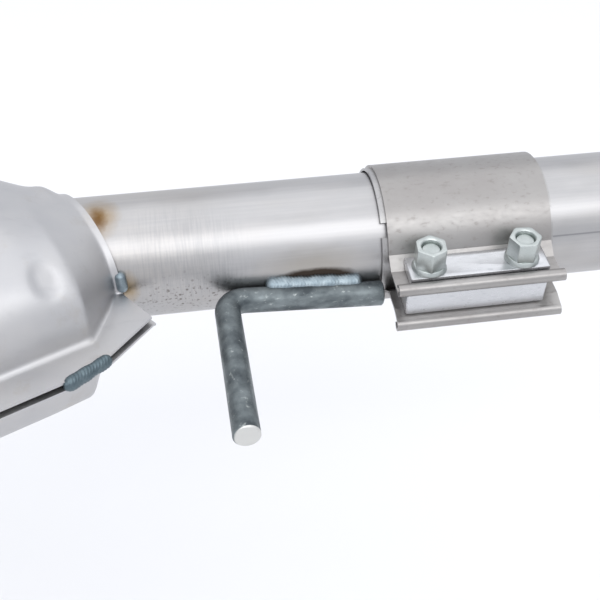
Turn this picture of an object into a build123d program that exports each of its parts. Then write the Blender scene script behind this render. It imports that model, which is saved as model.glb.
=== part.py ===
"""Exhaust section: converter in a clamshell heat shield, outlet pipe with hanger, band clamp, tail pipe.

Millimetres. The origin is the centre of the tail pipe's open end. +X runs along the pipes with the gas
flow and +Z is up. The converter's own axis lies in the XY plane, turned from the pipes, and so does the
seam between the two halves of its heat shield.
"""

import os
from math import asin, cos, degrees, pi, radians, sin, sqrt, tan

from build123d import *

os.makedirs("parts", exist_ok=True)

# ---- Pipes ----
pipe_r = 31.75  # 2.5 inch exhaust tube
pipe_wall = 1.6
inlet_length = 98.3  # from the inlet cone to the open end
tail_length = 157.4
joint_gap = 1.6  # between the two pipe ends inside the clamp

# ---- Converter can, its filling and its cones ----
converter_turn = 25.5  # from the pipes to the converter's axis, about Z
can_width = 106.0  # oval, in the seam plane
can_height = 89.0  # oval, along Z
can_wall = 1.5
can_drop = 2.7  # the can hangs this far below the pipes
mat_thickness = 4.0
brick_length = 68.0
brick_inset = 9.0  # from the can's end to the first brick
pipe_back = 17.86  # from the far side of the collar edge to the pipe's start, along the pipe
cone_neck_length = 6.0
cone_near_length = 7.4  # along the pipe, on the side where the cone is shortest

# ---- Heat shield ----
shield_wall = 1.2
shield_half_length = 153.5  # from the converter's middle to the collar edge
shield_air_gap = 6.3  # round the can
shield_seam_gap = 2.5  # between the upper and the lower flange
collar_gap = 0.75  # between the collar and the pipe
collar_width = 3.2
collar_before_joint = 191.0  # from the collar edge to the pipe joint, along the pipe
circle_fullness = 0.5523  # a section is an ellipse at this value and a rectangle at 1
shield_fullness = {1: 0.68, -1: 0.77}  # upper and lower shell
shoulder_depth = 28.1  # inside the collar edge, where the end wall turns into the side
crown_depth = 48.0  # where the shell reaches its full height
shoulder_upper = 0.9  # shares of the full height and depth at the shoulder
shoulder_lower = 0.98
flange_step = 1.2  # the lower flange stands out this far past the upper one

# ---- Hanger rod ----
rod_r = 6.35
rod_bend_r = 9.5
rod_gap = 0.05  # between the rod and the pipe at the weld
rod_before_joint = 125.0  # corner of the two centre lines, ahead of the pipe joint
rod_angle = 9.1  # below the -Y side, round the pipe
rod_end_gap = 0.4  # between the long leg's end and the clamp's sleeve
rod_droop = 3.9  # downhill slope of the long leg
rod_short = 93.4  # from the corner to the free end
rod_skew = 0.7  # the short leg leans this far towards the converter
rod_end_chamfer = 0.7

# ---- Band clamp ----
clamp_width = 84.3
clamp_before_joint = 42.5
clamp_tilt = 5.0  # the ears point this far below -Y
gasket_gap = 0.05  # running clearance round the pipes
gasket_thickness = 0.9
sleeve_thickness = 1.3
sleeve_overhang_in = 2.8  # towards the converter
sleeve_overhang_out = 1.3
sleeve_slot = 7.4
sleeve_slot_angle = 36.8  # height of the slot's middle above the -Y side
band_thickness = 1.4
ear_half_gap = 6.0  # half the spacer bar's height
ear_ramp_rise = 4.8  # the ramp meets the flat ear this far outside the band's round
ear_shoulder_rise = 5.45  # from the middle of the ear's sheet to where the ramp leaves the circle
lip_r = 3.1
lip_before_bar = 3.5  # from the bars' front faces to the upper lip's centre
lip_sweep = 250.0
lower_lip_reach = 3.2  # the lower lip stands this much further out than the upper
lower_lip_droop = 2.0
bar_length = 71.0
bar_thickness = 5.0
bar_depth = 16.2
bar_clearance = 0.2  # between a bar's back and the band's round
bar_bevel = 4.7  # how far the inner back edge is cut away
bar_heel = 1.6  # height of the upright back face above the bevel
spacer_depth = 21.0
spacer_shift = -2.5  # along X from the joint
bar_edge = 0.6  # broken edges of the bars

# ---- Clamp bolts, 3/8-16 ----
bolt_r = 4.76
bolt_pitch = 47.5  # between the two bolts
bolt_shift = -0.9  # along X from the joint
bolt_hole_r = 5.2
hex_across_flats = 14.3
head_height = 6.0
washer_r = 8.7
washer_top_r = 7.7
washer_height = 2.6
nut_height = 11.0
nut_corner_break = 0.5
nut_clearance = 0.05
nut_recess = 2.2  # from the nut's top down to the bolt's end
nut_turns = {"left": 23.6, "right": 54.1}

# ---- Welds ----
weld_r = 3.4
weld_length = 40.0
weld_start = 25.0  # from the rod's corner, along its long leg
seam_weld_r = 3.2
seam_weld_span = (0.14, 1.0)  # shares of the slanted length of the flange edge
seam_weld_inset = 1.0  # from the flange edge to the bead's middle
ring_weld = 2.0
spot_r = 2.8
spot_half_length = 2.5
spot_reach = 0.6  # the tack welds stand this far past the collar's edge
spot_angles = (14.0, 165.0)  # round the pipe, from the -Y side over the top

# ---- Derived: pipes and converter ----
bore_r = pipe_r - pipe_wall
joint_x = -tail_length - joint_gap / 2
converter_angle = radians(converter_turn)
pipe_inset = pipe_back + pipe_r * tan(converter_angle)  # as pipe_back, from the middle of the edge
outlet_length = collar_before_joint + pipe_inset - joint_gap / 2
converter_along = Vector(cos(converter_angle), sin(converter_angle), 0)
converter_across = Vector(-sin(converter_angle), cos(converter_angle), 0)
collar_x = joint_x - collar_before_joint
converter_middle = Vector(collar_x, 0, 0) - converter_along * shield_half_length
cone_reach = pipe_inset + cone_near_length + can_width / 2 * sin(converter_angle)
can_length = 2 * (shield_half_length - cone_reach / cos(converter_angle))
collar_r = pipe_r + collar_gap + shield_wall
shield_half_width = can_width / 2 + shield_air_gap + shield_wall
shield_upper = can_height / 2 - can_drop + shield_air_gap + shield_wall
shield_lower = can_height / 2 + can_drop + shield_air_gap + shield_wall
# One corner of the flange: depth inside the collar edge and distance from the converter's axis
flange_corner = [
    (-1.0, collar_r / cos(converter_angle) + 0.5),
    (-3.1, shield_half_width + 0.9),
    (25.6, shield_half_width + 14.0),
    (48.0, shield_half_width + 19.0),
]

# ---- Derived: clamp ----
clamp_start = joint_x - clamp_before_joint
sleeve_start = clamp_start - sleeve_overhang_in
sleeve_length = sleeve_overhang_in + clamp_width + sleeve_overhang_out
gasket_r = pipe_r + gasket_gap
sleeve_r = gasket_r + gasket_thickness
band_r = sleeve_r + sleeve_thickness
band_mid_r = band_r + band_thickness / 2
ear_mid = ear_half_gap + band_thickness / 2
ear_top = ear_half_gap + band_thickness
ear_ramp_out = band_mid_r + ear_ramp_rise
ramp_turn = asin((ear_mid + ear_shoulder_rise) / band_mid_r)
bar_top = ear_top + bar_thickness
bar_back = band_r + band_thickness + bar_clearance
bar_front = bar_back + bar_depth
spacer_back = bar_back + bar_clearance
spacer_front = spacer_back + spacer_depth
lip_out = bar_front + lip_before_bar
bolt_out = (bar_back + bar_front) / 2
bolt_middle = joint_x + bolt_shift
bolt_xs = {"left": bolt_middle - bolt_pitch / 2, "right": bolt_middle + bolt_pitch / 2}
nut_base = bar_top + washer_height
bolt_end = nut_base + nut_height - nut_recess
hex_corner_r = hex_across_flats / 2 / cos(pi / 6)


def write(part, name):
    """Labels a finished piece and writes it as parts/name.step."""
    part.label = name
    export_step(part, f"parts/{name}.step")


def section_plane(place, end=1):
    """A cross plane of the converter, this far from its middle towards the outlet (1) or inlet (-1)."""
    origin = converter_middle + converter_along * (end * place)
    return Plane(origin=origin, x_dir=converter_across * end, z_dir=converter_along * end)


def pipe_plane(end, distance):
    """A cross plane of the outlet (1) or inlet (-1) pipe, this far out from where the pipe starts."""
    from_middle = Vector(collar_x - pipe_inset + distance, 0, 0) - converter_middle
    origin = converter_middle + from_middle * end
    return Plane(origin=origin, x_dir=(0, end, 0), z_dir=(end, 0, 0))


def tube(plane, length):
    """A plain pipe, from a cross plane along its normal."""
    with BuildPart() as pipe:
        with BuildSketch(plane):
            Circle(pipe_r)
            Circle(bore_r, mode=Mode.SUBTRACT)
        extrude(amount=length)
    return pipe.part


def can_section(shrink, mode=Mode.ADD):
    """The can's oval in the open sketch, made smaller all round."""
    with Locations((0, -can_drop)):
        Ellipse(can_width / 2 - shrink, can_height / 2 - shrink, mode=mode)


def oval_ring(start, length, outside, inside):
    """An oval tube along the can, or a solid oval; the two values shrink the can's outline."""
    with BuildPart() as ring:
        with BuildSketch(section_plane(start)):
            can_section(outside)
            if inside is not None:
                can_section(inside, Mode.SUBTRACT)
        extrude(amount=length)
    return ring.part


def cone(end):
    """The cone from the oval can to the round pipe, with the neck that holds the pipe."""
    with BuildPart() as shell:
        for wall, mode in ((0.0, Mode.ADD), (can_wall, Mode.SUBTRACT)):
            with BuildSketch(section_plane(can_length / 2, end)):
                can_section(wall)
            with BuildSketch(pipe_plane(end, 0)):
                Circle(pipe_r + can_wall - wall)
            loft(ruled=True, mode=mode)
        with BuildSketch(pipe_plane(end, 0)):
            Circle(pipe_r + can_wall)
            Circle(pipe_r, mode=Mode.SUBTRACT)
        extrude(amount=cone_neck_length)
    return shell.part


def neck_weld(end):
    """A fillet weld between the cone's neck and the pipe."""
    foot = pipe_plane(end, cone_neck_length).origin
    with BuildPart() as bead:
        with BuildSketch(Plane(origin=foot, x_dir=(end, 0, 0), z_dir=(0, 0, 1))):
            Polygon((0, pipe_r), (ring_weld, pipe_r), (0, pipe_r + can_wall), align=None)
        revolve(axis=Axis(foot, (1, 0, 0)))
    return bead.part


def capsule(start, end, radius):
    """A round bar with rounded ends, the raw shape of a weld bead."""
    along = end - start
    with BuildPart() as bead:
        with BuildSketch(Plane(origin=start, z_dir=along)):
            Circle(radius)
        extrude(amount=along.length)
        with Locations(start, end):
            Sphere(radius)
    return bead.part


def shell_rings(side, inner):
    """Stations of one shell: place from the middle, sideways shift, half width, height, fullness."""
    wall = shield_wall if inner else 0.0
    radius = collar_r - wall
    rings = []
    for depth in (-collar_width if inner else 0.0, collar_width + wall):
        shift = depth * tan(converter_angle)
        half_width = radius / cos(converter_angle)
        rings.append((shield_half_length - depth, shift, half_width, radius, circle_fullness))
    height = shield_upper if side > 0 else shield_lower
    shoulder = shoulder_upper if side > 0 else shoulder_lower
    for depth, share in ((shoulder_depth + wall, shoulder), (crown_depth, 1.0)):
        sizes = (shield_half_width - wall, share * height - wall, shield_fullness[side])
        rings.append((shield_half_length - depth, 0.0, *sizes))
    return rings + [(-place, -shift, *rest) for place, shift, *rest in reversed(rings)]


def heat_shield(side):
    """One half of the clamshell: side is 1 for the upper shell and -1 for the lower."""
    seam = side * shield_seam_gap / 2
    corner = [(shield_half_length - depth, off) for depth, off in flange_corner]
    far = corner + [(-place, off) for place, off in reversed(corner)]
    outline = far + [(-place, -off) for place, off in far]
    flange_origin = converter_middle + Vector(0, 0, seam)
    with BuildPart() as shell:
        for inner, mode in ((False, Mode.ADD), (True, Mode.SUBTRACT)):
            base = 0.0 if inner else seam
            if inner:
                with BuildSketch(Plane(origin=flange_origin, x_dir=converter_along, z_dir=(0, 0, 1))):
                    with BuildLine():
                        Polyline(*outline, close=True)
                    make_face()
                    if side < 0:
                        offset(amount=flange_step, kind=Kind.INTERSECTION)
                extrude(amount=side * shield_wall)
            for place, shift, half_width, height, fullness in shell_rings(side, inner):
                top = side * height
                shoulder = base + fullness * (top - base)
                left, right = shift - half_width, shift + half_width
                bulge = fullness * half_width
                with BuildSketch(section_plane(place)):
                    with BuildLine():
                        Bezier((left, base), (left, shoulder), (shift - bulge, top), (shift, top))
                        Bezier((shift, top), (shift + bulge, top), (right, shoulder), (right, base))
                        Line((right, base), (left, base))
                    make_face()
            loft(ruled=True, mode=mode)
    return shell.part


def tack_weld(end, angle):
    """A tack weld from the shield's collar to the pipe, at an angle round it from -Y over the top."""
    around = radians(angle)
    stretch = 1 / cos(converter_angle)
    edge = section_plane(shield_half_length + spot_reach, end)
    middle = Vector(-collar_r * cos(around) * stretch, collar_r * sin(around))
    half = Vector(sin(around) * stretch, cos(around)) * spot_half_length
    ends = [edge.from_local_coords(point) for point in (middle - half, middle + half)]
    with BuildPart() as spot:
        add(capsule(*ends, spot_r))
        with BuildSketch(pipe_plane(end, 0)):
            Circle(pipe_r)
        extrude(amount=2 * pipe_inset, mode=Mode.SUBTRACT)
        add(upper_shield, mode=Mode.SUBTRACT)
        add(lower_shield, mode=Mode.SUBTRACT)
    return spot.part


def seam_weld(end, side):
    """A bead that joins the two flanges, along the slanted length of their edge."""
    (near_depth, near_off), (far_depth, far_off) = flange_corner[2:]
    points = []
    for share in seam_weld_span:
        depth = near_depth + share * (far_depth - near_depth)
        off = near_off + share * (far_off - near_off) - seam_weld_inset
        along = converter_along * (shield_half_length - depth) + converter_across * (side * off)
        points.append(converter_middle + along * end)
    with BuildPart() as bead:
        add(capsule(*points, seam_weld_r))
        add(upper_shield, mode=Mode.SUBTRACT)
        add(lower_shield, mode=Mode.SUBTRACT)
    return bead.part


def clamp_plane(x):
    """The clamp's own cross plane: local X runs away from the ears, local Y is across them."""
    tilt = radians(clamp_tilt)
    return Plane(origin=(x, 0, 0), x_dir=(0, cos(tilt), sin(tilt)), z_dir=(1, 0, 0))


def bolt_plane(side, height):
    """The plane square to a clamp bolt, at a height above the middle of the ears."""
    across = clamp_plane(bolt_xs[side])
    origin = across.from_local_coords((-bolt_out, height, 0))
    return Plane(origin=origin, x_dir=(1, 0, 0), z_dir=across.y_dir)


# ---- Converter ----
inlet_plane = pipe_plane(-1, 0)
outlet_plane = pipe_plane(1, 0)
write(tube(inlet_plane, inlet_length), "inlet_pipe")
write(tube(outlet_plane, outlet_length), "outlet_pipe")
write(oval_ring(-can_length / 2, can_length, 0, can_wall), "converter_can")
brick_starts = {
    "front_brick": brick_inset - can_length / 2,
    "rear_brick": can_length / 2 - brick_inset - brick_length,
}
for name, start in brick_starts.items():
    write(oval_ring(start, brick_length, can_wall + mat_thickness, None), name)
mat_length = can_length - 2 * brick_inset
write(oval_ring(-mat_length / 2, mat_length, can_wall, can_wall + mat_thickness), "support_mat")

# ---- Heat shield ----
upper_shield = heat_shield(1)
lower_shield = heat_shield(-1)
write(upper_shield, "upper_shield")
write(lower_shield, "lower_shield")

# ---- The converter's ends: cones and welds ----
for name, end in {"inlet": -1, "outlet": 1}.items():
    write(cone(end), f"{name}_cone")
    write(neck_weld(end), f"{name}_neck_weld")
    ring_start = end * can_length / 2 - ring_weld
    write(oval_ring(ring_start, 2 * ring_weld, -can_wall, 0), f"{name}_can_weld")
    write(seam_weld(end, -end), f"{name}_seam_weld_near")
    write(seam_weld(end, end), f"{name}_seam_weld_far")
    spots = [tack_weld(end, angle) for angle in spot_angles]
    write(Compound(children=spots), f"{name}_collar_weld")

# ---- Hanger ----
rod_out = pipe_r + rod_gap + rod_r
rod_turn = radians(rod_angle)
rod_corner = Vector(joint_x - rod_before_joint, -rod_out * cos(rod_turn), -rod_out * sin(rod_turn))
droop = radians(rod_droop)
rod_long = (sleeve_start - rod_end_gap - rod_corner.X) / cos(droop)
rod_along = Vector(cos(droop), sin(droop) * sin(rod_turn), -sin(droop) * cos(rod_turn))
rod_forward = Vector(-sin(radians(rod_skew)), -cos(radians(rod_skew)), 0)
with BuildPart() as hanger_rod:
    with BuildLine() as rod_path:
        FilletPolyline(
            rod_corner + rod_forward * rod_short,
            rod_corner,
            rod_corner + rod_along * rod_long,
            radius=rod_bend_r,
        )
    with BuildSketch(Plane(origin=rod_path.line @ 0, z_dir=rod_path.line % 0)):
        Circle(rod_r)
    sweep()
    ends = hanger_rod.faces().filter_by(GeomType.PLANE)
    chamfer(ends.edges(), rod_end_chamfer)
write(hanger_rod.part, "hanger_rod")

bead_out = pipe_r + weld_r / 3
bead_side = rod_r + weld_r / 3
bead_turn = (bead_out**2 + rod_out**2 - bead_side**2) / (2 * bead_out * rod_out)
bead_rise = sqrt(1 - bead_turn**2)
rod_dir = Vector(0, -cos(rod_turn), -sin(rod_turn))
rod_up = Vector(0, -sin(rod_turn), cos(rod_turn))
bead_shift = rod_dir * (bead_out * bead_turn - rod_out) + rod_up * (bead_out * bead_rise)
bead_start = rod_corner + rod_along * weld_start + bead_shift
with BuildPart() as hanger_weld:
    add(capsule(bead_start, bead_start + rod_along * weld_length, weld_r))
    add(hanger_rod.part, mode=Mode.SUBTRACT)
    with BuildSketch(outlet_plane):
        Circle(pipe_r)
    extrude(amount=outlet_length, mode=Mode.SUBTRACT)
write(hanger_weld.part, "hanger_weld")

# ---- Clamp: gasket, split sleeve and band ----
with BuildPart() as gasket:
    with BuildSketch(Plane.YZ.offset(clamp_start + sleeve_thickness)):
        Circle(sleeve_r)
        Circle(gasket_r, mode=Mode.SUBTRACT)
    extrude(amount=clamp_width - 2 * sleeve_thickness)
write(gasket.part, "gasket")

with BuildPart() as sleeve:
    with BuildSketch(Plane.YZ.offset(sleeve_start)):
        Circle(band_r)
        Circle(sleeve_r, mode=Mode.SUBTRACT)
    extrude(amount=sleeve_length)
    slot_turn = radians(sleeve_slot_angle)
    slot_out = Vector(0, -cos(slot_turn), sin(slot_turn))
    slot_middle = Vector(sleeve_start + sleeve_length / 2, 0, 0) + slot_out * sleeve_r
    with Locations(Plane(origin=slot_middle, x_dir=(1, 0, 0), z_dir=slot_out)):
        Box(2 * sleeve_length, sleeve_slot, band_r, mode=Mode.SUBTRACT)
write(sleeve.part, "sealing_sleeve")

lip_mid_r = lip_r - band_thickness / 2
with BuildPart() as band:
    with BuildSketch(clamp_plane(clamp_start)):
        with BuildLine():
            for side, out, droop in ((1, lip_out, 0.0), (-1, lip_out + lower_lip_reach, lower_lip_droop)):
                lip_foot = Vector(-out, side * (ear_mid + droop))
                lip_centre = lip_foot + Vector(0, side * lip_mid_r)
                CenterArc(lip_centre, lip_mid_r, -90 * side, -lip_sweep * side)
                ear = [(-bar_front - bar_clearance, side * ear_mid), (-ear_ramp_out, side * ear_mid)]
                shoulder = (-band_mid_r * cos(ramp_turn), side * band_mid_r * sin(ramp_turn))
                Polyline(lip_foot, *ear, shoulder)
            CenterArc((0, 0), band_mid_r, degrees(ramp_turn) - 180, 360 - 2 * degrees(ramp_turn))
            offset(amount=band_thickness / 2)
        make_face()
    extrude(amount=clamp_width)
    for side in bolt_xs:
        with Locations(bolt_plane(side, 0)):
            Cylinder(bolt_hole_r, 2 * bar_top, mode=Mode.SUBTRACT)
write(band.part, "clamp_band")

# ---- Clamp: bars ----
outer_bar = [
    (-bar_front, ear_top),
    (-bar_back - bar_bevel, ear_top),
    (-bar_back, bar_top - bar_heel),
    (-bar_back, bar_top),
    (-bar_front, bar_top),
]
spacer_bar = [
    (-spacer_front, -ear_half_gap),
    (-spacer_back, -ear_half_gap),
    (-spacer_back, ear_half_gap),
    (-spacer_front, ear_half_gap),
]
bars = {
    "upper_bar": (outer_bar, 0.0),
    "lower_bar": ([(y, -z) for y, z in outer_bar], 0.0),
    "spacer_bar": (spacer_bar, spacer_shift),
}
for name, (outline, shift) in bars.items():
    with BuildPart() as bar:
        with BuildSketch(clamp_plane(joint_x + shift - bar_length / 2)):
            with BuildLine():
                Polyline(*outline, close=True)
            make_face()
        extrude(amount=bar_length)
        ends = bar.faces().sort_by(Axis.X)
        chamfer([*ends[0].edges(), *ends[-1].edges()], bar_edge)
        for side in bolt_xs:
            with Locations(bolt_plane(side, 0)):
                Cylinder(bolt_hole_r, 4 * bar_top, mode=Mode.SUBTRACT)
    write(bar.part, name)

# ---- Clamp: bolts, washers and nuts ----
for side, turn in nut_turns.items():
    bolt_axis = Axis((0, 0, 0), bolt_plane(side, 0).z_dir)
    with BuildPart() as bolt:
        with BuildSketch(bolt_plane(side, -bar_top)):
            RegularPolygon(hex_corner_r, 6, rotation=turn)
        extrude(amount=-head_height)
        with BuildSketch(bolt_plane(side, -bar_top)):
            Circle(bolt_r)
        extrude(amount=bar_top + bolt_end)
        tip = bolt.faces().sort_by(bolt_axis)[-1]
        chamfer(tip.edges(), bar_edge)
    write(bolt.part, f"{side}_bolt")

    with BuildPart() as washer:
        with BuildSketch(bolt_plane(side, bar_top)):
            Circle(washer_r)
        with BuildSketch(bolt_plane(side, bar_top + bar_edge)):
            Circle(washer_r)
        with BuildSketch(bolt_plane(side, nut_base)):
            Circle(washer_top_r)
        loft(ruled=True)
        with Locations(bolt_plane(side, bar_top)):
            Cylinder(bolt_hole_r, 2 * nut_height, mode=Mode.SUBTRACT)
    write(washer.part, f"{side}_washer")

    with BuildPart() as nut:
        with BuildSketch(bolt_plane(side, nut_base)):
            RegularPolygon(hex_corner_r, 6, rotation=turn)
        extrude(amount=nut_height)
        base, top = bolt_plane(side, nut_base), bolt_plane(side, nut_base + nut_height)
        with BuildSketch(base):
            Circle(hex_corner_r)
        with BuildSketch(bolt_plane(side, nut_base + nut_height - nut_corner_break)):
            Circle(hex_corner_r)
        with BuildSketch(top):
            Circle(hex_corner_r - nut_corner_break)
        loft(ruled=True, mode=Mode.INTERSECT)
        with BuildSketch(base):
            Circle(bolt_r + nut_clearance)
        extrude(amount=nut_height, mode=Mode.SUBTRACT)
        mouth = nut.faces().filter_by(GeomType.PLANE).sort_by(bolt_axis)[-1].inner_wires()[0]
        chamfer(mouth.edges(), bar_edge)
    write(nut.part, f"{side}_nut")

# ---- Tail pipe ----
write(tube(Plane.YZ.offset(-tail_length), tail_length), "tail_pipe")
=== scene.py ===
# %% [markdown]
# # A length of car exhaust
# The CAD model holds every solid piece of this exhaust section at its real size: the converter in its
# two pressed heat shields, the outlet pipe with a welded hanger rod, the two-bolt band clamp and the tail
# pipe. This lesson gives those pieces the look of worked steel, and models again the few whose shape is
# softer than the CAD: the pressed shields, the weld beads, and the bars and fasteners with worn edges.
# All lengths are in metres, in the frame of the CAD model.

# %% Load the frame
import math

import bpy
import numpy as np
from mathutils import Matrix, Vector


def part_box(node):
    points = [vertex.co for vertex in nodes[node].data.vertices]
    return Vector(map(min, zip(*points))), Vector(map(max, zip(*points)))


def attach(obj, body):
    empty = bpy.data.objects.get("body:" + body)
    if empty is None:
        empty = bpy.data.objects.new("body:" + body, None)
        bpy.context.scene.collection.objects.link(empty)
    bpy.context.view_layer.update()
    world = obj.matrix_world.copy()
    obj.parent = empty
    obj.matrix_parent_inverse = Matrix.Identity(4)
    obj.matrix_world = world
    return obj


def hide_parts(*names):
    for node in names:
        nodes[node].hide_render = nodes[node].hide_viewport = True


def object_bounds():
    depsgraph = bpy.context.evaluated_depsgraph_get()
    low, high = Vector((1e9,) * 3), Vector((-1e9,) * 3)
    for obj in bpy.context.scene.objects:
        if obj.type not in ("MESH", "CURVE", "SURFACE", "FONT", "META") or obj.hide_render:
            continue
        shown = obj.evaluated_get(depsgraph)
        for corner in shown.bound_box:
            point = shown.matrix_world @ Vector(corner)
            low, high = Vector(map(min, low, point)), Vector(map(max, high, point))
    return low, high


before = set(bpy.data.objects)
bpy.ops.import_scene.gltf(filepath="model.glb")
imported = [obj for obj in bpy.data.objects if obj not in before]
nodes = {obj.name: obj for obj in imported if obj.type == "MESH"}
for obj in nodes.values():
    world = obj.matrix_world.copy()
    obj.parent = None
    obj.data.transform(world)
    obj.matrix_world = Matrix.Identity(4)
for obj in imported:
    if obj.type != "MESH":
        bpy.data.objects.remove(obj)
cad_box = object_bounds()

scene = bpy.context.scene
print("CAD box", [tuple(round(c, 4) for c in corner) for corner in cad_box])

# %% [markdown]
# ## Camera
# The camera stands in front of the pipes and looks down on them from about 39 degrees. A short telephoto
# lens close to the part gives the mild perspective that product pictures of long parts have.

# %% Camera
view_turn = math.radians(-9.248)
view_height = math.radians(38.808)
view_distance = 0.5965
view_target = Vector((-0.240, 0.0, -0.0406))
to_camera = Vector(
    (
        math.sin(view_turn) * math.cos(view_height),
        -math.cos(view_turn) * math.cos(view_height),
        math.sin(view_height),
    )
)
camera_data = bpy.data.cameras.new("camera")
camera = bpy.data.objects.new("camera", camera_data)
scene.collection.objects.link(camera)
camera_data.lens = 65.57
camera_data.clip_start = 0.01
camera.location = view_target + to_camera * view_distance
camera.rotation_euler = to_camera.to_track_quat("Z", "Y").to_euler()
scene.camera = camera
print("camera at", [round(c, 3) for c in camera.location])

# %% [markdown]
# ## Floor and light
# Bare metal has almost no colour of its own: it shows what stands round it. A white room would make it
# flat, so the room is pale grey, one long soft lamp high in front makes the bright band along every pipe,
# and a wide lamp overhead lights the tops. The floor is matt and pale, so it lifts the undersides.

# %% World, lamps and floor
floor_size = 12.0
floor_drop = 0.25  # below the lowest point of the part

scene.view_settings.view_transform = "Standard"
world = bpy.data.worlds.new("pale room")
scene.world = world
world.use_nodes = True
room = world.node_tree.nodes["Background"].inputs
room["Color"].default_value = (0.93, 0.95, 1.0, 1.0)
room["Strength"].default_value = 1.02


def soft_lamp(name, direction, distance, width, height, power):
    """A rectangular lamp that looks at the middle of the view."""
    data = bpy.data.lights.new(name, "AREA")
    data.shape = "RECTANGLE"
    data.size = width
    data.size_y = height
    data.energy = power
    lamp = bpy.data.objects.new(name, data)
    scene.collection.objects.link(lamp)
    lamp.location = view_target + Vector(direction).normalized() * distance
    lamp.rotation_euler = Vector(direction).to_track_quat("Z", "Y").to_euler()
    print(name, "stands at", [round(c, 2) for c in lamp.location])


soft_lamp("front lamp", (-0.1, -1.0, 1.2), 1.8, 2.8, 0.9, 14.2)
soft_lamp("top lamp", (0.0, 0.22, 1.0), 2.2, 3.4, 2.8, 16.5)

bpy.ops.object.select_all(action="DESELECT")
bpy.ops.mesh.primitive_plane_add(size=floor_size, location=(0, 0, cad_box[0][2] - floor_drop))
floor = bpy.context.object
floor.name = "floor"
print("floor lies at", round(floor.location.z, 3))

# %% [markdown]
# ## Small helpers for materials
# Colours are written as sRGB hex values, as in a paint chart, and turned to the linear values that
# Blender mixes. One helper adds a shader node with its settings and its links. The others are patterns
# made of a few nodes: a grain of a real size, a tint laid over a colour where a pattern is strong, and a
# soft spot. They read Object coordinates, which are metres here, so a 2 mm grain has the scale 1 / 0.002.


# %% Colours and nodes
def linear(hex_colour):
    """The linear RGBA of an sRGB hex colour."""
    values = [int(hex_colour[place : place + 2], 16) / 255 for place in (0, 2, 4)]
    return (*[v / 12.92 if v <= 0.04045 else ((v + 0.055) / 1.055) ** 2.4 for v in values], 1.0)


def add_node(tree, kind, inputs, output=0, **settings):
    """Adds a shader node, links or sets its inputs and settings, and returns one of its outputs."""
    made = tree.nodes.new("ShaderNode" + kind)
    for name, value in settings.items():
        setattr(made, name, value)
    for name, value in inputs.items():
        if isinstance(value, bpy.types.NodeSocket):
            tree.links.new(value, made.inputs[name])
        else:
            made.inputs[name].default_value = value
    return made.outputs[output]


def new_material(name):
    """A material with its tree, its shader and its Object coordinates."""
    material = bpy.data.materials.new(name)
    material.use_nodes = True
    tree = material.node_tree
    return material, tree, tree.nodes["Principled BSDF"], add_node(tree, "TexCoord", {}, "Object")


print("white is", linear("FFFFFF"))


# %% Patterns
def grain(tree, place, size, detail=4.0, stretch=(1, 1, 1), roughness=0.55):
    """Noise whose blotches are about size metres, longer where stretch is under 1."""
    moved = add_node(tree, "Mapping", {"Vector": place, "Scale": stretch})
    inputs = {"Vector": moved, "Scale": 1 / size, "Detail": detail, "Roughness": roughness}
    return add_node(tree, "TexNoise", inputs)


def tint(tree, colour, over, pattern, low=0.0, high=1.0, most=1.0):
    """Lays a hex colour over another: none where the pattern is low, and most of it where it is high."""
    inputs = {"Value": pattern, "From Min": low, "From Max": high, "To Max": most}
    amount = add_node(tree, "MapRange", inputs)
    return add_node(tree, "Mix", {0: amount, 6: colour, 7: linear(over)}, 2, data_type="RGBA")


def spot(tree, place, centre, radii, soft, ragged=0.0):
    """1 inside an egg-shaped region and 0 outside, with a soft or ragged edge."""
    stretch = [1 / radius for radius in radii]
    offset = [-c / radius for c, radius in zip(centre, radii)]
    moved = add_node(tree, "Mapping", {"Vector": place, "Scale": stretch, "Location": offset})
    reach = add_node(tree, "VectorMath", {0: moved}, "Value", operation="LENGTH")
    if ragged:
        blotches = grain(tree, place, min(radii) * 0.6, 6.0)
        wobble = add_node(tree, "Math", {0: blotches, 1: ragged}, operation="MULTIPLY")
        reach = add_node(tree, "Math", {0: reach, 1: wobble}, operation="ADD")
        reach = add_node(tree, "Math", {0: reach, 1: ragged / 2}, operation="SUBTRACT")
    return add_node(tree, "MapRange", {"Value": reach, "From Min": 1.0, "From Max": 1.0 - soft})


def finish_surface(tree, shader, colour, roughness, height, depth, strength, metallic=1.0):
    """Links colour and roughness, sets how metallic it is, and turns height to bumps depth metres deep."""
    tree.links.new(colour, shader.inputs["Base Color"])
    if isinstance(roughness, bpy.types.NodeSocket):
        tree.links.new(roughness, shader.inputs["Roughness"])
    else:
        shader.inputs["Roughness"].default_value = roughness
    shader.inputs["Metallic"].default_value = metallic
    bump = add_node(tree, "Bump", {"Height": height, "Distance": depth, "Strength": strength})
    tree.links.new(bump, shader.inputs["Normal"])


print("patterns: grain, tint and spot")

# %% [markdown]
# ## Floor finish
# Matt white board. It has no pattern, so that nothing on it draws the eye from the part.

# %% Floor material
floor_material, tree, shader, place = new_material("white_board")
shader.inputs["Base Color"].default_value = linear("E9E9EA")
shader.inputs["Roughness"].default_value = 0.9
floor.data.materials.append(floor_material)
print("made", floor_material.name)

# %% [markdown]
# ## Aluminised steel tube
# Exhaust tube is rolled from strip and welded along its length, then cut and belt-sanded near its joints.
# That gives a soft grey metal with fine lines along the tube, a thin weld line, and short scratches round
# the tube near the converter. Heat from welding leaves straw and brown tints and soot round each bead,
# and spatter leaves pits. The outlet pipe has these marks; the weld line shows only on the other tubes.


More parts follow.
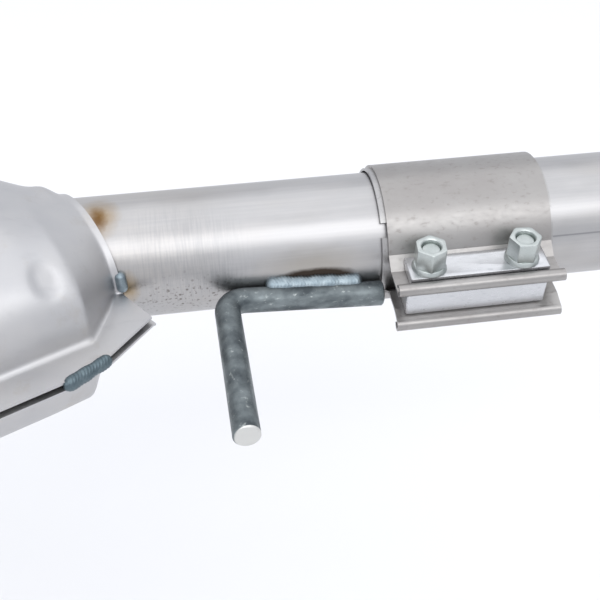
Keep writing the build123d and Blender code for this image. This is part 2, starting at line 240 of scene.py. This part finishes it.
# %% What welding and sanding left on the outlet pipe
# Each tint: centre, radii, softness, raggedness, colour and strength
heat_tints = (
    ((-0.3405, -0.008, 0.032), (0.011, 0.016, 0.014), 0.9, 0.5, "94794C", 0.85),
    ((-0.3415, -0.010, 0.031), (0.0055, 0.010, 0.008), 0.8, 0.5, "64441F", 0.8),
    ((-0.330, -0.0315, 0.003), (0.0065, 0.02, 0.010), 0.8, 0.4, "A08450", 0.65),
    ((-0.2385, -0.031, 0.006), (0.034, 0.02, 0.0115), 0.75, 0.35, "A39A8B", 0.45),
)


def weld_and_sanding_marks(tree, place, colour, roughness, height):
    """Adds scratches, pits, heat tints and soot, and returns the new colour, roughness and height."""
    sanded = spot(tree, place, (-0.303, -0.022, 0.012), (0.040, 0.03, 0.03), 0.5, 0.5)
    round_lines = grain(tree, place, 0.0009, 4.0, (1, 0.06, 0.06))
    strong = add_node(tree, "MapRange", {"Value": round_lines, "From Min": 0.42, "From Max": 0.62})
    scratches = add_node(tree, "Math", {0: sanded, 1: strong}, operation="MULTIPLY")
    colour = tint(tree, colour, "8C8D92", scratches, most=0.3)
    ridges = add_node(tree, "Math", {0: scratches, 1: 0.7}, operation="MULTIPLY")
    height = add_node(tree, "Math", {0: height, 1: ridges}, operation="ADD")

    field = spot(tree, place, (-0.302, -0.031, -0.006), (0.045, 0.02, 0.017), 0.7, 0.6)
    cells = add_node(tree, "TexVoronoi", {"Vector": place, "Scale": 1 / 0.0042}, "Distance")
    dots = add_node(tree, "MapRange", {"Value": cells, "From Min": 0.22, "From Max": 0.10})
    dots = add_node(tree, "Math", {0: dots, 1: field}, operation="MULTIPLY")
    specks = grain(tree, place, 0.0016, 6.0)
    specks = add_node(tree, "MapRange", {"Value": specks, "From Min": 0.56, "From Max": 0.66})
    specks = add_node(tree, "Math", {0: specks, 1: field}, operation="MULTIPLY")
    pits = add_node(tree, "Math", {0: dots, 1: specks}, operation="MAXIMUM")
    colour = tint(tree, colour, "66605B", pits, most=0.75)
    hollows = add_node(tree, "Math", {0: pits, 1: 1.5}, operation="MULTIPLY")
    height = add_node(tree, "Math", {0: height, 1: hollows}, operation="SUBTRACT")

    for centre, radii, soft, ragged, hex_colour, most in heat_tints:
        colour = tint(tree, colour, hex_colour, spot(tree, place, centre, radii, soft, ragged), most=most)
    soot = spot(tree, place, (-0.2375, -0.0315, -0.0012), (0.0235, 0.02, 0.0062), 0.3, 0.2)
    colour = tint(tree, colour, "3A2A1C", soot, most=0.9)
    dull = add_node(tree, "Math", {0: soot, 1: 0.3}, operation="MULTIPLY")
    roughness = add_node(tree, "Math", {0: roughness, 1: dull}, operation="ADD")
    return colour, roughness, height


print(len(heat_tints), "heat tints")


# %% Tube material
def tube_material(name, heat_marks):
    """Aluminised tube: with heat_marks the welded outlet pipe, without them a tube with its weld line."""
    material, tree, shader, place = new_material(name)
    clouds = grain(tree, place, 0.022, 5.0, (0.5, 1, 1))
    drawn = grain(tree, place, 0.0012, 3.0, (0.02, 1, 1))
    warm = grain(tree, place, 0.05, 3.0, (0.3, 1, 1))
    colour = tint(tree, linear("AFAEAE"), "BBBABA", clouds, 0.35, 0.65)
    colour = tint(tree, colour, "B3ABA1", warm, 0.45, 0.7, 0.45)
    colour = tint(tree, colour, "9E9EA1", drawn, 0.3, 0.7, 0.25)
    satin = {"Value": clouds, "From Min": 0.3, "From Max": 0.7, "To Min": 0.30, "To Max": 0.42}
    roughness = add_node(tree, "MapRange", satin)
    height = add_node(tree, "Math", {0: drawn, 1: 0.6}, operation="MULTIPLY")
    if heat_marks:
        colour, roughness, height = weld_and_sanding_marks(tree, place, colour, roughness, height)
    else:
        weld_line = spot(tree, place, (-0.1, -0.0304, 0.009), (9.0, 0.0009, 0.0006), 0.5)
        colour = tint(tree, colour, "6E6F72", weld_line, most=0.5)
    finish_surface(tree, shader, colour, roughness, height, 0.00006, 0.35)
    return material


outlet_material = tube_material("aluminised_tube_welded", True)
plain_material = tube_material("aluminised_tube", False)
print("made", outlet_material.name, "and", plain_material.name)

# %% [markdown]
# ## Pressed shield sheet
# The shields are deep-drawn from aluminised sheet. The press rubs the coating matt, so the reflections
# are broad, with faint flow lines, finger marks and warm stains where oil burned on.


# %% Shield material
def shield_material():
    """Drawn aluminised sheet."""
    material, tree, shader, place = new_material("drawn_aluminised_sheet")
    clouds = grain(tree, place, 0.030, 5.0)
    fine = grain(tree, place, 0.0012, 4.0)
    stain = grain(tree, place, 0.020, 6.0, (1, 1, 0.7), 0.7)
    smear = grain(tree, place, 0.006, 5.0, (0.35, 1, 1))
    colour = tint(tree, linear("B9B9BB"), "C3C2C2", clouds, 0.3, 0.7)
    colour = tint(tree, colour, "ABA295", stain, 0.55, 0.75, 0.4)
    colour = tint(tree, colour, "A2A2A5", smear, 0.58, 0.78, 0.25)
    matt = {"Value": clouds, "From Min": 0.3, "From Max": 0.7, "To Min": 0.40, "To Max": 0.52}
    roughness = add_node(tree, "MapRange", matt)
    waves = add_node(tree, "Math", {0: clouds, 1: 6.0}, operation="MULTIPLY")
    height = add_node(tree, "Math", {0: fine, 1: waves}, operation="ADD")
    finish_surface(tree, shader, colour, roughness, height, 0.0001, 0.25)
    return material


sheet_material = shield_material()
print("made", sheet_material.name)

# %% [markdown]
# ## Clamp, zinc and weld finishes
# The band is stainless strip with a warm satin face. The bars are bright zinc, the nuts and washers zinc
# with a faintly green passivation. The bead that holds the hanger is bluish grey, and the seam beads are
# darker. The gasket is dark flexible graphite. All are one recipe: two slowly varying tones, marks in a
# third, and a fine grain.


# %% One recipe for the plain metals
def worked_metal(name, main, second, mark, size, rough, metallic=1.0, bump=0.00008, stretch=(1, 1, 1)):
    """Metal with two slowly varying tones, marks in a third, and a fine grain."""
    material, tree, shader, place = new_material(name)
    clouds = grain(tree, place, size, 5.0, stretch)
    fine = grain(tree, place, size / 12, 5.0, stretch)
    colour = tint(tree, linear(main), second, clouds, 0.35, 0.65)
    colour = tint(tree, colour, mark, fine, 0.58, 0.70, 0.7)
    worn = {"Value": fine, "From Min": 0.3, "From Max": 0.7, "To Min": rough - 0.05, "To Max": rough + 0.07}
    roughness = add_node(tree, "MapRange", worn)
    finish_surface(tree, shader, colour, roughness, fine, bump, 0.4, metallic)
    return material


along_part = (0.3, 1, 1)
band_material = worked_metal(
    "satin_stainless_strip", "9C9997", "A5A3A1", "938F8C", 0.026, 0.38, stretch=(0.6, 1, 1)
)
sleeve_material = worked_metal("stainless_sleeve", "A3A2A1", "AFAEAE", "8E8D8B", 0.016, 0.34)
bar_material = worked_metal(
    "bright_zinc_bar", "C4C5C7", "CDCED1", "B9BBBE", 0.014, 0.30, bump=0.00002, stretch=along_part
)
fastener_material = worked_metal("passivated_zinc", "B4BAB8", "C0C5C3", "9BA29F", 0.007, 0.34)
weld_material = worked_metal(
    "weld_bead_steel", "7C8991", "98A4AA", "566168", 0.0035, 0.34, 0.95, 0.0002
)
dark_weld_material = worked_metal(
    "oxidised_weld_bead", "56646B", "69777D", "3E484D", 0.0035, 0.40, 0.9, 0.0002
)
gasket_material = worked_metal("flexible_graphite", "2B2C2E", "353638", "1F2022", 0.004, 0.6, 0.1)
can_material = worked_metal("stainless_can", "BDBAB6", "C8C6C3", "A5A29E", 0.018, 0.35)
print("made", band_material.name, bar_material.name, fastener_material.name, "and five more")

# %% [markdown]
# ### Mill scale
# The hanger is hot-rolled rod. Its dark mill scale is a hard oxide skin, so it is less metallic, and it
# is scuffed bright where it was handled. The scuffs are stretched along X and Y. The sawn end has no
# scale, so a small spot there turns it to bare steel.


# %% Rod material
def rod_material():
    """Hot-rolled rod with mill scale, scuffs and a bare sawn end."""
    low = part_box("hanger_rod")[0]
    material, tree, shader, place = new_material("mill_scale_rod")
    clouds = grain(tree, place, 0.006, 6.0, (0.5, 0.5, 1))
    colour = tint(tree, linear("454C50"), "7C8486", clouds, 0.35, 0.68)
    handled = grain(tree, place, 0.0014, 6.0, (0.35, 0.35, 1), 0.7)
    scuffs = add_node(tree, "MapRange", {"Value": handled, "From Min": 0.60, "From Max": 0.70})
    colour = tint(tree, colour, "B9BEBC", scuffs, most=0.75)
    bare = spot(tree, place, (low[0] + 0.012, low[1], -0.0071), (0.012, 0.0012, 0.012), 0.1)
    colour = tint(tree, colour, "CFCFCC", bare)
    shine = {"Value": clouds, "From Min": 0.3, "From Max": 0.7, "To Min": 0.50, "To Max": 0.36}
    roughness = add_node(tree, "MapRange", shine)
    height = add_node(tree, "Math", {0: clouds, 1: grain(tree, place, 0.0006, 2.0)}, operation="ADD")
    finish_surface(tree, shader, colour, roughness, height, 0.00025, 0.4)
    steel = add_node(tree, "Math", {0: scuffs, 1: bare}, operation="MAXIMUM")
    metallic = add_node(tree, "MapRange", {"Value": steel, "To Min": 0.65, "To Max": 1.0})
    tree.links.new(metallic, shader.inputs["Metallic"])
    return material


hanger_material = rod_material()
print("made", hanger_material.name)

# %% [markdown]
# ### Inside the converter
# The catalyst is fired clay and the mat is ceramic wool. Both are dull minerals that show no gloss, and
# they are seen only when the converter is taken apart.


# %% Catalyst and mat materials
def dull_material(name, main, second, size, bump):
    """A dull mineral surface in two tones."""
    material, tree, shader, place = new_material(name)
    clay = grain(tree, place, size, 5.0)
    colour = tint(tree, linear(main), second, clay, 0.35, 0.65)
    finish_surface(tree, shader, colour, 0.9, clay, bump, 0.6, metallic=0.0)
    return material


brick_material = dull_material("cordierite_catalyst", "9C8C70", "B5A78C", 0.0012, 0.0004)
mat_material = dull_material("ceramic_fibre_mat", "D6D0C4", "E4DFD5", 0.002, 0.0006)
print("made", brick_material.name, "and", mat_material.name)

# %% [markdown]
# ## Give each CAD node its finish
# The CAD nodes keep their shapes. Only their material slots are filled.

# %% Assign materials
finishes = {
    "inlet_pipe": plain_material,
    "outlet_pipe": outlet_material,
    "tail_pipe": plain_material,
    "inlet_cone": can_material,
    "outlet_cone": can_material,
    "converter_can": can_material,
    "front_brick": brick_material,
    "rear_brick": brick_material,
    "support_mat": mat_material,
    "upper_shield": sheet_material,
    "lower_shield": sheet_material,
    "clamp_band": band_material,
    "sealing_sleeve": sleeve_material,
    "gasket": gasket_material,
    "upper_bar": bar_material,
    "lower_bar": bar_material,
    "spacer_bar": bar_material,
    "hanger_rod": hanger_material,
}
for side in ("left", "right"):
    for piece in ("bolt", "washer", "nut"):
        finishes[f"{side}_{piece}"] = fastener_material
for name in nodes:
    if "weld" in name:
        finishes[name] = dark_weld_material if "seam" in name else weld_material
for name, material in finishes.items():
    mesh = nodes[name].data
    mesh.materials.clear()
    mesh.materials.append(material)
print("finished", len(finishes), "of", len(nodes), "nodes")

# %% [markdown]
# ## Pressed shields
# Each shield is one drawn sheet: a round collar opens through a slanted shoulder into a full oval body,
# and the sheet turns out at its foot into a flange. Extruding or sculpting it by hand would not keep the
# exact flow from round to oval, so a grid with a row for every cross section is laid over that form
# instead. Its rows stand closer near the collars, where the shape turns quickly, and the foot has a small
# press radius, so light runs softly from the wall into the flange. Solidify gives the sheet.

# %% Frame of the converter
converter_turn = math.radians(25.5)
along = Vector((math.cos(converter_turn), math.sin(converter_turn), 0))
across = Vector((-math.sin(converter_turn), math.cos(converter_turn), 0))
shield_half_length = 0.1535
collar_middle = Vector((-0.3492, 0, 0))
converter_middle = collar_middle - along * shield_half_length
print("converter middle", [round(c, 4) for c in converter_middle])

# %% Sizes of the shields
sheet_wall = 0.0012
seam_half_gap = 0.00125
flange_face = seam_half_gap + sheet_wall
foot_radius = 0.0035
lower_flange_step = 0.0012  # the lower flange stands out past the upper one
collar_r = 0.0337
collar_width = 0.0032
collar_inner_half = 0.0373  # half width of the shield where the collar ends
half_width = 0.0605
shoulder_depth = 0.0281
crown_depth = 0.048
round_fullness = 0.5523  # a section is an ellipse at this value and a rectangle at 1
# Flange edge: depth inside the collar edge and distance from the converter's axis
flange_line = ((-0.0031, 0.0614), (0.0256, 0.0745), (crown_depth, 0.0795), (shield_half_length, 0.0795))
slant_end = flange_line[1][0]
# The straight runs between stations are eased over these lengths, at these depths
ease_depths = (0.0, 0.004, 0.022, 0.030, 0.048, 0.06)
ease_lengths = (0.0004, 0.0010, 0.0012, 0.0014, 0.005, 0.006)
flange_points = 8
foot_points = 8
wall_points = 32
wall_crowding = 1.15  # above 1, the wall's points stand closer at the foot
row_count = 181
row_crowding = 1.5  # above 1, the rows stand closer at the collars
foot_start_share = 0.35  # of the press radius, at the collar
foot_grows_over = 0.02  # the share grows by one for each of these depths, up to the full radius
print("shield half width", half_width, "and collar radius", collar_r)


# %% Shape of one row
def shell_point(place, off, height):
    """A point given along the converter's axis, across it and above the seam."""
    return converter_middle + along * place + across * off + Vector((0, 0, height))


def eased(depth, knots):
    """The value at a depth inside the collar, on straight runs between knots, with their corners eased."""
    spread = np.linspace(-1.5, 1.5, 9)
    weight = np.exp(-(spread**2))
    near = depth + np.interp(depth, ease_depths, ease_lengths) * spread
    values = np.interp(near, [knot[0] for knot in knots], [knot[1] for knot in knots])
    return float((values * weight).sum() / weight.sum())


def flange_and_foot(depth, side, hand, width, shift, radius):
    """Points of one flange from its edge to the wall, round the press radius at its foot."""
    step = lower_flange_step if side < 0 else 0.0
    edge_depth = depth + (flange_line[0][0] - step) * max(0.0, 1 - depth / slant_end)
    edge_off = float(np.interp(edge_depth, *zip(*flange_line))) + step
    inner_off = width + radius + hand * shift
    points = []
    for share in np.linspace(0, 1, flange_points):
        off = edge_off + share * (inner_off - edge_off)
        points.append((edge_depth + share * (depth - edge_depth), hand * off, flange_face))
    for turn in np.linspace(0, math.pi / 2, foot_points)[1:]:
        off = hand * (width + radius - radius * math.sin(turn)) + shift
        points.append((depth, off, flange_face + radius - radius * math.cos(turn)))
    return points


def shield_row(row_place, side, full_height, full_fullness, shoulder_share):
    """Points of one cross section, from the near flange edge over the crown to the far one."""
    depth = shield_half_length - abs(row_place)
    end = 1 if row_place >= 0 else -1
    slope = math.tan(converter_turn)
    collar_half_width = collar_r / math.cos(converter_turn)
    widths = ((0, collar_half_width), (collar_width, collar_inner_half), (shoulder_depth, half_width))
    shoulder = shoulder_share * full_height
    collar_heights = ((0, collar_r), (collar_width, collar_r))
    heights = (*collar_heights, (shoulder_depth, shoulder), (crown_depth, full_height))
    fullnesses = ((0, round_fullness), (collar_width, round_fullness), (shoulder_depth, full_fullness))
    shift = end * eased(depth, ((0, 0), (collar_width, collar_width * slope), (shoulder_depth, 0)))
    width, height, fullness = (eased(depth, knots) for knots in (widths, heights, fullnesses))
    radius = foot_radius * min(1.0, foot_start_share + depth / foot_grows_over)
    wall_start = flange_face + radius
    t = np.linspace(0, 1, wall_points) ** wall_crowding
    wall_x = width * (3 * (1 - t) * t**2 * fullness + 3 * (1 - t) ** 2 * t + (1 - t) ** 3)
    wall_z = wall_start + (height - wall_start) * (
        t**3 + 3 * (1 - t) * t**2 + 3 * (1 - t) ** 2 * t * fullness
    )
    points = []
    for hand in (-1, 1):
        half = flange_and_foot(depth, side, hand, width, shift, radius)
        half += [(depth, hand * x + shift, z) for x, z in zip(wall_x[1:], wall_z[1:])]
        points += half if hand < 0 else half[-2::-1]
    return [(end * (shield_half_length - d), off, side * z) for d, off, z in points]


print("points in a row:", len(shield_row(0.0, 1, 0.0493, 0.68, 0.9)))

# %% Marks in the sheet
dent_middle = (0.040, -0.0476, 0.0352)  # depth inside the collar edge, across, above the seam
dent_radii = (0.0062, 0.0075, 0.0085)
dent_depth = 0.0013
dent_edge = 9  # how steep its edge is
brow_middle = (0.011, 0.017)  # depth inside the collar edge, and across
brow_radii = (0.0055, 0.010)
brow_rise = 0.0030
brow_lowest = 0.02  # the brow is only in the upper shield's top


def pressed_marks(place, off, height):
    """How far the sheet is pushed in, in metres: a shallow thumb-shaped dent and a raised brow."""
    depth = shield_half_length - place
    from_dent = [(c - m) / r for c, m, r in zip((depth, off, height), dent_middle, dent_radii)]
    dent = dent_depth / (1 + math.exp((Vector(from_dent).length - 1.0) * dent_edge))
    from_brow = [((c - m) / r) ** 2 for c, m, r in zip((depth, off), brow_middle, brow_radii)]
    brow = brow_rise * math.exp(-sum(from_brow))
    return dent - (brow if height > brow_lowest else 0.0)


print("dent", dent_depth, "deep and brow", brow_rise, "high")


# %% Lay the grid over the form
def pressed_shield(name, side, full_height, fullness, shoulder_share, node):
    """One shield: a grid laid over the form, thickened inwards to the sheet's gauge."""
    shares = np.linspace(-1, 1, row_count)
    places = shield_half_length * (1 - (1 - np.abs(shares)) ** row_crowding) * np.sign(shares)
    rows = [shield_row(place, side, full_height, fullness, shoulder_share) for place in places]
    bpy.ops.object.select_all(action="DESELECT")
    bpy.ops.mesh.primitive_grid_add(
        x_subdivisions=len(rows[0]) - 1, y_subdivisions=len(rows) - 1, size=1
    )
    shield = bpy.context.object
    shield.name = name
    for index, (place, off, height) in enumerate(point for row in rows for point in row):
        radial = Vector((0, off, height)).normalized() * pressed_marks(place, off, height)
        shield.data.vertices[index].co = shell_point(place, off - radial.y, height - radial.z)
    bpy.ops.object.mode_set(mode="EDIT")
    bpy.ops.mesh.select_all(action="SELECT")
    bpy.ops.mesh.normals_make_consistent(inside=False)
    bpy.ops.object.mode_set(mode="OBJECT")
    crown = max(shield.data.polygons, key=lambda face: side * face.center.z)
    if crown.normal.z * side < 0:
        shield.data.flip_normals()
    sheet = shield.modifiers.new("sheet", "SOLIDIFY")
    sheet.thickness = sheet_wall
    sheet.offset = -1
    bpy.ops.object.modifier_apply(modifier=sheet.name)
    bpy.ops.object.shade_smooth_by_angle(angle=math.radians(40))
    shield.data.materials.append(sheet_material)
    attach(shield, "converter_section")
    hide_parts(node)
    print(name, len(shield.data.polygons), "faces")


# Name, side, full height, fullness, share of the height at the shoulder, and the CAD node
pressed_shield("pressed_upper_shield", 1, 0.0493, 0.68, 0.9, "upper_shield")
pressed_shield("pressed_lower_shield", -1, 0.0547, 0.77, 0.98, "lower_shield")

# %% [markdown]
# ## Weld beads
# A bead freezes in small waves as the welder moves along, so its ripples are chevrons that point back
# to the start. A ball is drawn out to the bead's length, flattened, and rippled along its length: a
# formula moves its points, because no tool makes ripples that follow the bead.


# %% Rippled beads
ripple_depth = 0.028  # share of the bead's half size
chevron_reach = 0.7  # how far the ripples lean, as a share of the half width
drift_waves = ((0.05, 311, 0), (0.04, 797, 1))  # share, turns in radians a metre, and start


def rippled_bead(name, start, end, outward, wide, tall, pitch, node, material):
    """A bead from start to end; wide and tall are its half sizes across and outward."""
    bpy.ops.object.select_all(action="DESELECT")
    bpy.ops.mesh.primitive_uv_sphere_add(segments=40, ring_count=160)
    bead = bpy.context.object
    bead.name = name
    run = end - start
    forward = run.normalized()
    out = (outward - forward * outward.dot(forward)).normalized()
    side = forward.cross(out)
    reach = run.length / 2 + wide
    for vertex in bead.data.vertices:
        x, y, z = vertex.co
        turn = math.atan2(y, x)
        distance = (math.acos(max(-1.0, min(1.0, z))) / math.pi - 0.5) * 2 * reach
        past = max(0.0, abs(distance) - run.length / 2) / wide
        wave = math.cos(2 * math.pi * (distance + chevron_reach * wide * abs(math.sin(turn))) / pitch)
        drift = sum(share * math.sin(distance * rate + phase) for share, rate, phase in drift_waves)
        body = math.sqrt(max(0.0, 1 - past * past)) * (1 + ripple_depth * wave + drift)
        centre = (start + end) / 2 + forward * distance
        vertex.co = centre + out * (math.cos(turn) * tall * body) + side * (math.sin(turn) * wide * body)
    bpy.ops.object.mode_set(mode="EDIT")
    bpy.ops.mesh.select_all(action="SELECT")
    bpy.ops.mesh.remove_doubles(threshold=0.000001)
    bpy.ops.mesh.normals_make_consistent(inside=False)
    bpy.ops.object.mode_set(mode="OBJECT")
    bpy.ops.object.shade_smooth_by_angle(angle=math.radians(60))
    bead.data.materials.append(material)
    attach(bead, "converter_section")
    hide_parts(node)
    print(name, len(bead.data.polygons), "faces")


# %% Hanger bead
low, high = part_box("hanger_weld")
bead_half = 0.0034
bead_y = -0.0335
bead_top = high[2] - bead_half
bead_drops = (0.0004, 0.0030)  # below bead_top, at its two ends, because the rod slopes
rippled_bead(
    "rippled_hanger_weld",
    Vector((low[0] + bead_half, bead_y, bead_top - bead_drops[0])),
    Vector((high[0] - bead_half, bead_y, bead_top - bead_drops[1])),
    Vector((0, -0.75, 0.66)),
    0.0046,
    0.0034,
    0.0017,
    "hanger_weld",
    weld_material,
)

# %% Seam beads
seam_weld_span = (0.14, 1.0)  # shares of the second run of the flange edge
seam_weld_inset = 0.0002
(run_depth, run_off), (run_end_depth, run_end_off) = flange_line[1:3]
for end, end_name in ((1, "outlet"), (-1, "inlet")):
    for hand, hand_name in ((-1, "near"), (1, "far")):
        weld_points = []
        for share in seam_weld_span:
            depth = run_depth + share * (run_end_depth - run_depth)
            off = run_off + share * (run_end_off - run_off) - seam_weld_inset
            weld_points.append(shell_point(end * (shield_half_length - depth), end * hand * off, 0.0))
        rippled_bead(
            f"rippled_{end_name}_seam_weld_{hand_name}",
            *weld_points,
            across * (end * hand),
            0.0036,
            0.0030,
            0.0017,
            f"{end_name}_seam_weld_{hand_name}",
            dark_weld_material,
        )

# %% [markdown]
# ## Fasteners and bars with worn edges
# Forged nuts and sheared bars never have knife edges. Copies of the CAD pieces get a small bevel on
# every sharp edge, so each one catches a thin line of light.


# %% Bevelled copies
def worn_copy(node, body, material, width):
    """A copy of a CAD piece with small rounded edges."""
    mesh = nodes[node].data.copy()
    mesh.transform(nodes[node].matrix_world)
    worn = bpy.data.objects.new(f"worn_{node}", mesh)
    scene.collection.objects.link(worn)
    bpy.ops.object.select_all(action="DESELECT")
    worn.select_set(True)
    bpy.context.view_layer.objects.active = worn
    bpy.ops.object.mode_set(mode="EDIT")
    bpy.ops.mesh.select_all(action="SELECT")
    bpy.ops.mesh.remove_doubles(threshold=0.00001)
    bpy.ops.mesh.dissolve_limited(angle_limit=math.radians(3))
    bpy.ops.mesh.normals_make_consistent(inside=False)
    bpy.ops.object.mode_set(mode="OBJECT")
    bevel = worn.modifiers.new("worn edge", "BEVEL")
    bevel.width = width
    bevel.segments = 3
    bevel.limit_method = "ANGLE"
    bevel.angle_limit = math.radians(32)
    bpy.ops.object.modifier_apply(modifier=bevel.name)
    bpy.ops.object.shade_smooth_by_angle(angle=math.radians(35))
    worn.data.materials.clear()
    worn.data.materials.append(material)
    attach(worn, body)
    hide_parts(node)
    print(worn.name, len(worn.data.polygons), "faces")


for bar in ("upper_bar", "lower_bar", "spacer_bar"):
    worn_copy(bar, "clamp", bar_material, 0.0005)
for hand in ("left", "right"):
    worn_copy(f"{hand}_nut", f"{hand}_nut_carrier", fastener_material, 0.00035)
    worn_copy(f"{hand}_washer", f"{hand}_washer_carrier", fastener_material, 0.00025)
